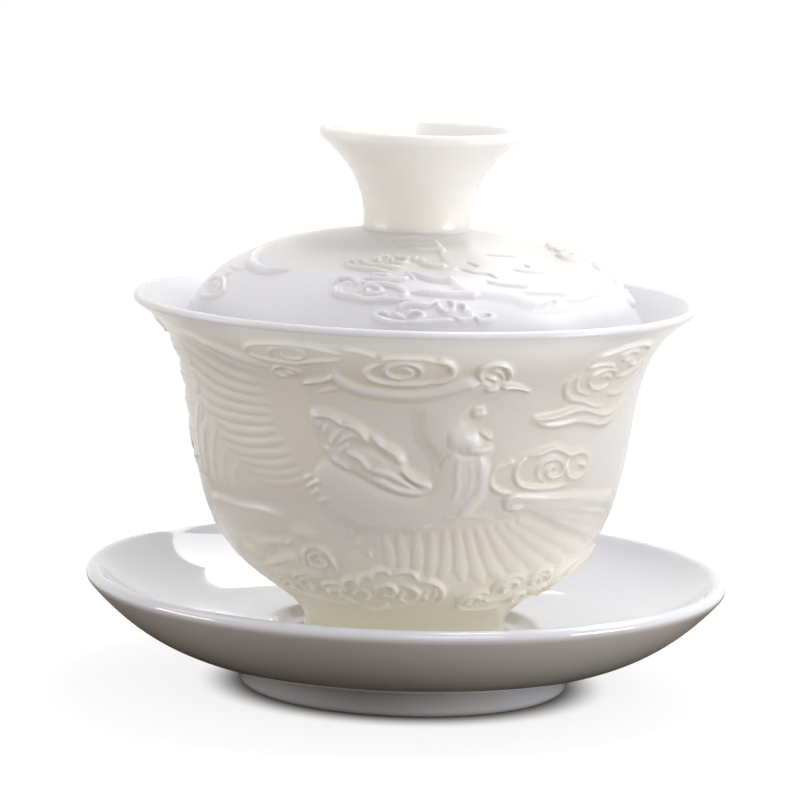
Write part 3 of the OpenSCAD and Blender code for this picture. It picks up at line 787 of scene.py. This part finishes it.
def cloud_at_foot(clay):
    clay.pad([(-22, 14.6), (-18, 18.2), (-13, 19.4), (-9, 20.6), (-4, 20.4), (1, 20), (5, 18.8), (9, 18), (12.6, 15.6),
              (13, 12.4), (9, 10.6), (2, 9.8), (-6, 8.4), (-12, 7.4), (-18, 9), (-23, 11.6)], 0.22, 2.2)
    lobes = [
        [(-22.4, 14.6), (-20.4, 16.6), (-18, 17.8), (-15.6, 17.4)],
        [(-16.6, 15.4), (-15, 18), (-12, 19.2), (-10.4, 18.2)],
        [(-11.4, 18.2), (-9.6, 20.2), (-6, 20.4), (-4.6, 19.2)],
        [(-4.8, 19.4), (-2, 20.3), (1.6, 20.2), (3.6, 18.4)],
        [(3.8, 17.8), (7.6, 18), (10.6, 16.9), (12.4, 15.2), (12.9, 13.6), (11.8, 11.6)],
        [(-6.6, 11), (-7.8, 9), (-10.2, 7.9), (-14, 7.8), (-18, 9.2)],
        [(-18, 9.4), (-22, 11.4), (-23, 13.2), (-22, 14.6)],
    ]
    for lobe in lobes:
        clay.ridge(lobe, 1.2, 0.6)
    clay.ridge([(-2, 16.6), (1.6, 16.3), (4, 15), (4.2, 13.6), (2.6, 12), (-0.4, 11.8), (-2, 13), (-0.8, 14.4),
                (1.4, 14.2)], 1.0, 0.55)
    clay.ridge([(-10.4, 13.4), (-9.6, 15.6), (-7, 16.8), (-4, 16.4), (-3.2, 14.8), (-5, 13.4), (-7.4, 13.8),
                (-6.8, 15)], 1.0, 0.55)
    clay.ridge([(-18.6, 11.6), (-17.6, 14), (-14.6, 15), (-12.4, 13.6), (-13.6, 11.8), (-15.6, 12.6)], 0.9, 0.5)
    clay.ridge([(9.6, 16), (10.2, 13.8), (8.4, 12.4), (6.6, 13.4), (7.2, 15)], 0.9, 0.45)


def cloud_bank_right(clay):
    clay.pad([(20.4, 9.6), (21, 13), (25, 15), (30, 15.6), (32, 18.4), (37, 19), (43, 19.2), (50, 19.4), (57, 16),
              (62, 12), (58, 8.6), (46, 7.2), (32, 7), (24, 7.8)], 0.18, 2.2)
    for head, size, begin, turns in (
        ((36.4, 15.2), (4.6, 2.2), 190, -1.4), ((25.4, 11.4), (4.0, 2.0), 170, -1.4),
        ((46.6, 10.9), (4.4, 2.0), 170, -1.4), ((48, 16.4), (4.2, 1.9), -20, 1.4),
        ((56, 12.4), (4.0, 1.9), -20, 1.4),
    ):
        clay.curl(head, size, begin, turns, 1.0, 0.6)
    for lobe in ([(20.6, 9.6), (20.9, 12.2), (23.6, 14.2), (27.8, 14.6), (30.2, 13.4)],
                 [(30.8, 14), (30.6, 16.4), (33, 18.2), (37.4, 18.5), (41, 17.2)],
                 [(42.4, 17.6), (44.6, 19), (49, 19.1), (53, 17.4), (55, 15.4)],
                 [(20.6, 9.6), (24, 8.2), (30, 7.6), (37, 7.4), (45, 7.6), (52, 8.8), (60, 9.4)],
                 [(29.6, 12), (33, 11), (38, 11.6), (41, 13.4)]):
        clay.ridge(lobe, 1.1, 0.55)


def cloud_bank_left(clay):
    clay.pad([(-21.4, 20), (-21.8, 23), (-25, 24.6), (-30, 24.4), (-36, 22), (-48, 19.4), (-56, 17.4), (-54, 12),
              (-42, 9.4), (-30, 8.4), (-23, 9), (-20.6, 12), (-24, 16)], 0.18, 2.2)
    clay.pad([(-70, 28.6), (-64, 30.2), (-50, 30), (-40, 30.4), (-35, 29.2), (-38, 27.2), (-50, 25.8),
              (-62, 25.4)], 0.32, 3.4)
    clay.ridge([(-68, 29.6), (-60, 30.1), (-50, 29.8), (-42, 30), (-37, 29.4)], 1.2, 0.3)
    for lobe in ((-37.4, 20.6), (-46, 23), (-53, 20.6), (-31, 18), (-44, 17), (-29, 26.4)):
        clay.bead(lobe, (4, 1.8), 0.35)
    for head, size, begin, turns in (
        ((-26.4, 21.2), (4.4, 2.2), 20, 1.4), ((-35, 14.4), (4.4, 2.1), 20, 1.4),
        ((-25.4, 12.2), (3.8, 1.9), 20, 1.4), ((-45.4, 13.4), (4.6, 2.0), 160, -1.4),
    ):
        clay.curl(head, size, begin, turns, 1.0, 0.55)
    for lobe in ([(-31.6, 19.4), (-31.2, 22.4), (-28, 24.2), (-24, 23.9), (-21.9, 22), (-21.6, 19.4)],
                 [(-33, 22), (-36, 21.3), (-41, 20), (-47, 18.8), (-55, 17.6)],
                 [(-29.6, 16.4), (-33, 17.6), (-38, 17), (-41, 15.2)],
                 [(-20.8, 13), (-22, 15.4), (-26, 16), (-29.6, 14.6)],
                 [(-21, 10), (-26, 8.8), (-33, 9.4), (-40, 10), (-48, 10), (-55, 12)],
                 [(-33, 24.6), (-40, 24), (-48, 23.4)]):
        clay.ridge(lobe, 1.1, 0.5)


# %% Round the bowl
spots, clay = on_wall(bowl, bowl_outside)
front = (cloud_over_wing, bird_body, bird_head, folded_wing, spread_wing, cloud_at_rim, ribbon, cloud_at_breast,
         plume, tail_feathers, cloud_at_foot, cloud_bank_right, cloud_bank_left)
for figure in front:
    figure(clay.moved())
behind = [
    (cloud_over_wing, 132, 1, 0), (cloud_over_wing, 236, -1, 0), (cloud_at_rim, 130, 1, 0), (ribbon, 64, 1, 0),
    (ribbon, 292, -1, -2), (cloud_at_breast, 76, 1, 1), (cloud_at_breast, 290, -1, 0), (plume, 215, -1, 3),
    (plume, 250, -1, -2), (cloud_at_foot, 92, 1, 0), (cloud_at_foot, 186, -1, 0), (cloud_bank_right, 104, 1, 0),
    (cloud_bank_left, 290, 1, 0), (tail_feathers, 182, 1, 0),
]
for figure, turn, side, up in behind:
    figure(clay.moved(turn, side, up))
raise_clay(bowl, spots, clay, rim_glow=54)
lighten(bowl, 190000)

# %% [markdown]
# ## Lid
# A dome whose round edge sits a little way down inside the bowl's flare.

# %% Lid
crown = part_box("lid_knob")[0].z / MM
edge_mid, edge_r, edge_heading = Vector((39.7, 62.7)), 1.1, -71
neck_r, middle_r, lid_wall = 9.3, 4.5, 2.2
ceiling = crown - lid_wall
dome = sweep((neck_r, crown), -12, edge_mid + left_of(edge_heading) * edge_r, edge_heading, (0.4, 0.41))
lid_outside = trace(dome, 150)
profile = [Vector((0, crown)), Vector((middle_r, crown))] + lid_outside
profile += arc(edge_mid, edge_r, edge_heading + 90, edge_heading - 90, 8)
profile += trace(dome, 22, 1, 0, (-lid_wall, -lid_wall))
profile += [Vector((middle_r, ceiling)), Vector((0, ceiling))]
lid = thrown("lid_porcelain", profile, 440, 320)
dress(lid, lid_glaze, "lid", "lid")

# %% [markdown]
# ## Clouds on the lid
# The dome has clouds and a flame of long tongues. Here the second number of a place is
# the distance out from the neck.

# %% Figures on the lid, with the distance out from the neck
def lid_flame(clay):
    clay.pad([(6, 6.5), (10, 12), (10.6, 18), (9.4, 21), (14, 25), (26, 27), (36, 29.4), (50, 29.6), (62, 28.4),
              (66, 24), (62, 17), (50, 11), (34, 8), (18, 6)], 0.4, 2.6)
    for finger in ([(14, 5.6), (4, 5), (-6, 4.6), (-16, 4.8)],
                   [(14, 8.2), (4, 7.6), (-4, 7), (-11, 7)],
                   [(14, 10.8), (6, 10.4), (0, 9.8), (-5, 9.6)],
                   [(11, 17.6), (5.6, 17.3), (2.6, 16.2), (2.4, 14.4), (0.6, 12.8)],
                   [(12, 22.2), (5, 21.7), (1.4, 20.7), (-1.2, 19.8)],
                   [(18, 25.9), (9, 25.6), (3, 25.3), (-1.6, 25.4)]):
        clay.ridge(finger, 1.9, 0.75, (0.05, 0.4))
    for stroke in ([(9.6, 11), (9.4, 15.6)], [(19.2, 15.8), (21, 16.8), (22.8, 18)],
                   [(14, 18.3), (17, 19.2), (20, 20.2), (24.4, 20.6), (26.8, 22.2)],
                   [(21.4, 22.6), (24, 23.4), (29, 24.2), (37, 24.8)], [(31, 12.8), (38, 13.5), (47, 14.6)],
                   [(35, 19), (38, 20), (43, 20.8), (50, 21.2)], [(42.4, 18.8), (44.6, 17.9)],
                   [(31, 26), (40, 26.6), (48, 27.2)], [(43, 28.4), (50, 28.7), (57, 28.4), (63, 28)],
                   [(33, 29.4), (38, 28.8), (42, 27.8)]):
        clay.groove(stroke, 1.2, 0.5)


def lid_cloud_upper(clay):
    clay.pad([(-27, 16.4), (-24, 15.6), (-18, 14.6), (-10, 13.6), (-4, 13.2), (0, 13.4), (1.6, 15.6), (-1, 18),
              (-4, 19.8), (-10, 20.2), (-18, 19.9), (-24, 19.2), (-27, 18)], 0.12, 1.4)
    for cord in ([(-26, 15.9), (-26.2, 17.4), (-24.4, 18.6), (-21, 19.2), (-15, 19.6), (-9, 19.9)],
                 [(-22, 15.9), (-20.6, 16.8), (-18, 17.8), (-15, 18.3), (-10, 18.5), (-4, 18.2)],
                 [(-24.4, 16.4), (-23.6, 17.4), (-22, 18)],
                 [(-17, 16.8), (-16.2, 15.6), (-14.6, 15.5), (-14.2, 16.8), (-12, 17.5)],
                 [(-11.6, 16.4), (-10.4, 15.2), (-9, 15.8), (-8.6, 16.8), (-5, 17), (-3.4, 16.2), (-3.8, 15.2)],
                 [(-9, 13.6), (-7.6, 14.4), (-4, 14.9), (-2, 15.4)],
                 [(-16, 14.2), (-13, 14.6), (-11, 14.2)],
                 [(-2, 14.4), (-0.4, 15.2), (1, 14)],
                 [(-3, 19.4), (-2.2, 20.6), (-0.6, 21.6)]):
        clay.ridge(cord, 1.0, 0.75)


def lid_cloud_middle(clay):
    clay.pad([(-25, 23.6), (-22.6, 22.5), (-18.6, 22.5), (-15.6, 23.2), (-12, 23.3), (-8, 23.4), (-4.6, 24),
              (-2.2, 25.6), (-2.6, 27), (-8, 27.9), (-14, 28.2), (-20, 27.6), (-23.8, 26.4), (-24.8, 25)], 0.12, 1.4)
    for cord in ([(-24.4, 24.5), (-24.4, 23.4), (-22.4, 22.9), (-19.6, 22.8), (-17.6, 23.6), (-17.6, 24.5)],
                 [(-15.8, 26), (-15.2, 25), (-13, 24.4), (-10.6, 24.7), (-9.6, 25.5), (-11, 26.2), (-13.4, 26.1),
                  (-13.6, 25.4), (-12.6, 25.2)]):
        clay.ridge(cord, 0.85, 0.7)
    for cord in ([(-21.6, 25.2), (-23.2, 25.6), (-22.8, 26.4), (-20, 26.9), (-17, 27.1), (-13.5, 27.6), (-9, 27.2),
                  (-5, 27.3), (-1, 27)],
                 [(-16.2, 23.4), (-14, 23.9), (-10, 23.8), (-6.8, 24), (-4, 24.9), (-2.4, 26), (-4, 26.6),
                  (-9, 26.4)],
                 [(-16, 22.2), (-10, 22.4), (-5, 22.2), (-2, 21.6)],
                 [(-15, 21.2), (-8, 21.2)]):
        clay.ridge(cord, 1.05, 0.75)
    clay.bead((-20.8, 23.9), (1, 0.4), 0.4)
    clay.bead((-22.2, 25.9), (0.8, 0.4), 0.3)


def lid_cloud_lower(clay):
    clay.pad([(-10.6, 30.4), (-8, 29.6), (-5, 29.6), (-4, 28.3), (0, 27.7), (4, 27.9), (6, 26.9), (9.6, 27),
              (11.4, 28.4), (13.6, 28.2), (16, 29.4), (19.6, 29.7), (21.4, 30.6), (19.6, 31.6), (12, 31.8), (4, 32),
              (-4, 32), (-9, 31.6)], 0.12, 1.4)
    for cord in ([(-6.6, 31.2), (-9.4, 31.1), (-10, 30.4), (-8.4, 29.9), (-6.4, 30.6)],
                 [(-5.4, 30), (-3.6, 30.8), (-2, 31)],
                 [(-2.2, 30.6), (-1, 29.7), (1.2, 29.8), (2.2, 30.6), (0.8, 31.1), (-0.4, 30.6)],
                 [(6, 27.6), (6.4, 28.8), (8, 29.5), (10, 29.2), (10.4, 28), (9, 27.2)],
                 [(10.8, 28.4), (12.6, 28), (13.6, 28.8), (12.4, 29.5)],
                 [(10.4, 30.6), (12, 31.2), (14.4, 30.8), (15, 30)],
                 [(15.6, 30.2), (16.4, 31.2), (18.6, 31.2), (20.2, 30.5), (19, 29.8)]):
        clay.ridge(cord, 0.9, 0.7)
    for cord in ([(-4.6, 29.2), (-3.2, 28.3), (0, 28), (2.4, 28.3), (4.4, 28), (6.2, 27)],
                 [(-3, 31.6), (2, 31.7), (6, 31.4), (10, 31.2)],
                 [(-9.6, 31.4), (-6, 31.8), (-2, 31.8)]):
        clay.ridge(cord, 1.0, 0.75)


def lid_crescent(clay):
    clay.ridge([(-84, 17), (-79, 19.2), (-69, 21.8), (-60, 22.9), (-52, 23), (-45, 22)], 2.4, 0.9, (0.3, 0.15))
    clay.ridge([(-79, 24), (-72, 24.4), (-66, 23.8)], 1.2, 0.4)
    clay.bead((-72, 25.8), (1.6, 0.7), 0.4)
    clay.pad([(-78, 27.2), (-70, 27), (-64, 28.6), (-62.6, 30.2), (-67, 31.4), (-73, 32), (-79, 31.4),
              (-82, 29)], 0.14, 1.4)
    clay.ridge([(-80, 29.2), (-76, 27.6), (-70, 27.4), (-64.6, 28.8), (-63.4, 30.2), (-67, 31), (-73, 31.6),
                (-79, 31)], 0.9, 0.5)
    clay.ridge([(-76, 30), (-73, 28.8), (-69, 28.6), (-67.4, 29.6), (-70, 30.2)], 0.8, 0.5)


# %% Round the lid
spots, clay = on_wall(lid, lid_outside)
for figure in (lid_flame, lid_cloud_upper, lid_cloud_middle, lid_cloud_lower, lid_crescent):
    figure(clay.moved())
behind = [
    (lid_flame, 180), (lid_cloud_upper, 100), (lid_cloud_middle, 112), (lid_cloud_lower, 92),
    (lid_cloud_upper, 196), (lid_cloud_middle, 196), (lid_cloud_lower, 200),
]
for figure, turn in behind:
    figure(clay.moved(turn))
raise_clay(lid, spots, clay)
lighten(lid, 170000)

# %% [markdown]
# ## Knob
# A hollow flared ring that is luted to the crown of the lid and is open at the top. Its
# base widens in a small fillet that ends just under the lid's surface, so no seam shows.

# %% Knob
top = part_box("lid_knob")[1].z / MM
knob_wall, lip_r, rim_heading = 2.4, 1.0, 41
fillet, sunk = 1.0, crown - 0.7
rim_mid = Vector((17.4 - lip_r, top - lip_r))
base = sweep((neck_r + fillet, sunk), 135, (neck_r, crown + fillet), 90, (0.4, 0.5))
lip_below = rim_mid - left_of(rim_heading) * lip_r
side = sweep((neck_r, crown + fillet), 90, lip_below, rim_heading, (0.44, 0.33))
profile = trace(base, 6) + trace(side, 36)[1:] + half_round(rim_mid, lip_r, rim_heading, 16)
profile += trace(side, 30, 1, 0, (knob_wall, 2 * lip_r))[1:]
profile += line((neck_r - knob_wall, crown), (neck_r + fillet, sunk), 4)
profile += [Vector((neck_r + fillet, sunk))]
knob = thrown("knob_porcelain", profile, 96, 96)
dress(knob, knob_glaze, "lid_knob", "lid")

# %% [markdown]
# ## Studio
# The set stands on a pale sheet in soft light. A large box high up behind lights the lid
# and gives the saucer its sharp reflection, which a narrow box lower down completes. Boxes
# on the right, in front and on the left shape the bowl, a little cool on the right and a
# little warm in front, and a small one overhead lights the lid. Close to the foot the sheet
# is painted dark, a painted shade that sends back less light than further out. To the camera
# and in reflections the sheet and the sky are white, except close to the foot, where the dark
# painted sheet shows as a painted contact shadow and as painted shade in the saucer's underside.

# %% Floor
bpy.ops.object.select_all(action="DESELECT")
bpy.ops.mesh.primitive_plane_add(size=6, location=(0, 0, 0))
floor = bpy.context.object
floor.name = "studio_sheet"
sheet = bpy.data.materials.new("sheet_white")
sheet.use_nodes = True
tree = sheet.node_tree
tree.nodes.clear()
start = Flow(tree)
RAYS = ("Is Camera Ray", "Is Glossy Ray", "Is Transmission Ray")


def beyond(start, near, far):
    """0 inside one distance from the middle of the floor and 1 outside another, in metres."""
    place = start.node("TexCoord", out="Object")
    away = start.node("VectorMath", {"operation": "LENGTH"}, {0: place}, out="Value")
    span = {"Value": away, "From Min": near, "From Max": far}
    return start.node("MapRange", {"interpolation_type": "SMOOTHSTEP"}, span)


eye, mirror, clear = (start.node("LightPath", out=kind) for kind in RAYS)
# Painted shadow: close to the foot the camera, and reflections a little further out, see the dark sheet instead of the
# white one.
white_beyond_painted_shadow = eye * beyond(start, 0.027, 0.037) + (mirror + clear) * beyond(start, 0.06, 0.3)
# Painted shade: the sheet's colour is painted dark close to the foot and light further out.
painted_bounce_shade = beyond(start, 0.09, 0.2).blend(rgb(0.15, 0.125, 0.1), rgb(0.8, 0.77, 0.73))
bounce = start.node("BsdfDiffuse", {}, {"Color": painted_bounce_shade})
glow = start.node("Emission", {}, {"Color": rgb(1, 1, 1), "Strength": 0.86})
shadow = start.node("BsdfDiffuse", {}, {"Color": rgb(0.2, 0.2, 0.2)})
lit = start.node("AddShader", {}, {0: glow, 1: shadow})
white = start.node("Emission", {}, {"Color": rgb(1, 1, 1), "Strength": 1})
bright = start.node("MixShader", {}, {0: beyond(start, 0.15, 0.5), 1: lit, 2: white})
mixed = start.node("MixShader", {}, {0: white_beyond_painted_shadow, 1: bounce, 2: bright})
start.node("OutputMaterial", {}, {"Surface": mixed}, out=None)
floor.data.materials.append(sheet)
print("floor laid")

# %% Light
world = bpy.data.worlds.new("studio")
bpy.context.scene.world = world
world.use_nodes = True
tree = world.node_tree
tree.nodes.clear()
start = Flow(tree)
sky = start.node("Background", {}, {"Color": rgb(0.97, 0.98, 1), "Strength": 0.42})
white = start.node("Background", {}, {"Color": rgb(1, 1, 1), "Strength": 1})
eye, mirror, clear = (start.node("LightPath", out=kind) for kind in RAYS)
mixed = start.node("MixShader", {}, {0: eye + mirror + clear, 1: sky, 2: white})
start.node("OutputWorld", {}, {"Surface": mixed}, out=None)


def softbox(name, place, aim, size, power, roll=0, tint=(1, 1, 1)):
    """A lamp behind a white cloth, from a place to an aim in metres, that the camera can't see."""
    bpy.ops.object.light_add(type="AREA", location=place)
    box = bpy.context.object
    box.name = name
    box.data.shape = "RECTANGLE"
    box.data.size, box.data.size_y = size
    box.data.energy, box.data.color = power, tint
    turn = (Vector(aim) - Vector(place)).to_track_quat("-Z", "Y") @ Quaternion((0, 0, 1), roll)
    box.rotation_euler = turn.to_euler()
    box.visible_camera = False


COOL, WARM, BARELY_WARM = (0.93, 0.965, 1), (1, 0.955, 0.93), (1, 0.985, 0.97)
softbox("box_behind", (0.61, 1.35, 1.93), (-0.22, -0.03, 0.13), (1.78, 1.26), 19.4, -0.125)
softbox("box_behind_low", (0.231, 2.073, 1.255), (0.026, 0.018, 0.024), (0.84, 0.175), 1.6, -0.945)
softbox("box_above", (0.12, 0.08, 0.72), (0, 0, 0.05), (0.16, 0.16), 1.2)
softbox("box_right", (0.45, 0.05, 0.45), (0, 0, 0.05), (0.2, 0.2), 0.6, tint=COOL)
softbox("box_right_low", (0.62, -0.22, 0.06), (0, 0, 0.03), (0.3, 0.1), 1.6, tint=COOL)
softbox("box_front", (0.2, -0.6, 0.4), (0, 0, 0.03), (0.4, 0.3), 0.89, tint=WARM)
softbox("box_left", (-0.5, 0.0, 0.45), (0, 0, 0.04), (0.3, 0.3), 0.35)
softbox("box_left_low", (-0.62, -0.1, 0.1), (0, 0, 0.04), (0.3, 0.15), 0.75, tint=BARELY_WARM)
bpy.context.scene.view_settings.view_transform = "Standard"
print("eight soft boxes")
